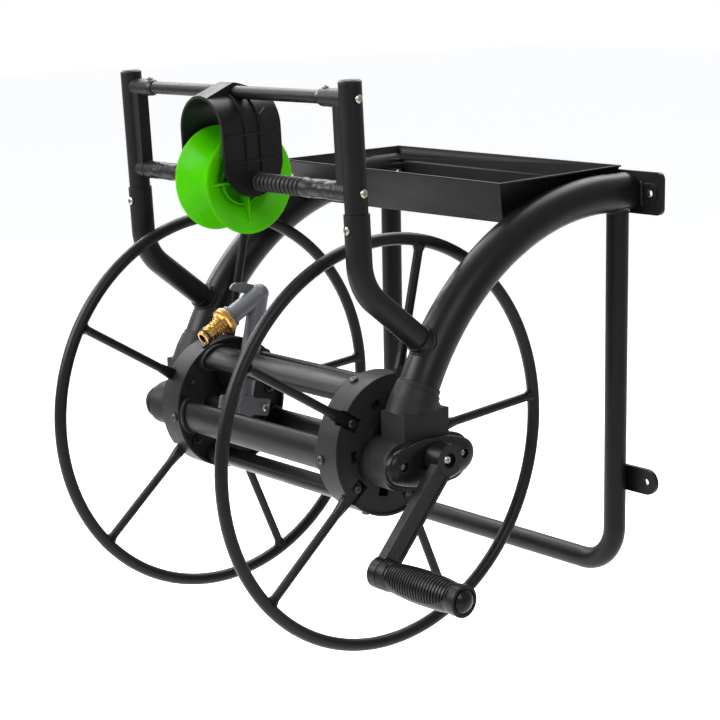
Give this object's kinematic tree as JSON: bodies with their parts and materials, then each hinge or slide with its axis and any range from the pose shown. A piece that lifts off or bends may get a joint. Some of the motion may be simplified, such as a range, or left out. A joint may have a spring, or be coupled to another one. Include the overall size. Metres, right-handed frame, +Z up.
{
  "type": "hose reel",
  "caption": "Wall mounted hose reel: bent tube frame, spoked drum turned by a crank, sliding pulley guide on two bars and a tool tray on top.",
  "frame": {"origin": "centre of the four wall bolts, on the wall plane", "axes": "+X towards the crank side, +Y into the wall, +Z up"},
  "size_m": [0.6255, 0.5565, 0.6178],
  "materials": {
    "black_paint": "satin black powder coat",
    "black_plastic": "matt moulded black plastic",
    "gloss_black": "glossy black plastic",
    "green_plastic": "vivid green moulded plastic",
    "grey_plastic": "blue-grey moulded plastic",
    "brass": "turned brass",
    "zinc": "zinc plated steel",
    "black_zinc": "blackened steel screws",
    "bush_plastic": "bearing plastic",
    "black_rubber": "black rubber"
  },
  "bodies": {
    "frame": {"left_arch_tube": "black_paint", "right_arch_tube": "black_paint", "rear_frame_tube": "black_paint", "left_wall_plate": "black_paint", "right_wall_plate": "black_paint", "left_lower_tab": "black_paint", "right_lower_tab": "black_paint", "left_guide_arm": "black_paint", "right_guide_arm": "black_paint", "left_guide_post": "black_paint", "right_guide_post": "black_paint", "left_post_cap": "black_plastic", "right_post_cap": "black_plastic", "left_bar_bracket": "black_plastic", "right_bar_bracket": "black_plastic", "guide_top_bar": "black_paint", "guide_lower_bar": "black_paint", "post_screws": "zinc", "arm_screws": "zinc", "tool_tray": "black_paint", "tray_screws": "zinc", "left_housing": "black_plastic", "right_housing": "black_plastic", "left_housing_cover": "black_plastic", "right_housing_cover": "black_plastic", "housing_screws": "zinc", "left_bush": "bush_plastic", "right_bush": "bush_plastic", "inlet_spigot": "brass", "left_guide_sleeve": "black_rubber", "right_guide_sleeve": "black_rubber"},
    "drum": {"left_hub_disc": "black_plastic", "right_hub_disc": "black_plastic", "drum_tubes": "black_paint", "disc_screws": "black_zinc", "left_wheel": "black_paint", "right_wheel": "black_paint", "spoke_screws": "black_zinc", "drive_shaft": "zinc", "water_axle": "zinc", "swivel_body": "grey_plastic", "swivel_screws": "zinc", "outlet_pipe": "grey_plastic", "brass_connector": "brass", "connector_ring": "black_rubber", "crank_arm": "black_paint", "crank_screw": "zinc", "grip_pin": "zinc"},
    "grip": {"grip": "black_plastic", "grip_cap": "gloss_black"},
    "guide": {"guide_hood": "black_plastic"},
    "pulley": {"guide_pulley": "green_plastic"}
  },
  "joints": [
    {"name": "drum_spin", "type": "hinge", "parent": "frame", "child": "drum", "pos_m": [0, -0.32965, -0.07787], "axis": [1, 0, 0], "continuous": true},
    {"name": "grip_spin", "type": "hinge", "parent": "drum", "child": "grip", "pos_m": [0.3085, -0.41888, -0.18051], "axis": [1, 0, 0], "continuous": true},
    {"name": "guide_slide", "type": "slide", "parent": "frame", "child": "guide", "axis": [1, 0, 0], "range_m": [-0.026, 0.034], "deforming": ["left_guide_sleeve", "right_guide_sleeve"]},
    {"name": "pulley_spin", "type": "hinge", "parent": "guide", "child": "pulley", "pos_m": [-0.009, -0.40318, 0.2007], "axis": [1, 0, 0], "continuous": true}
  ]
}
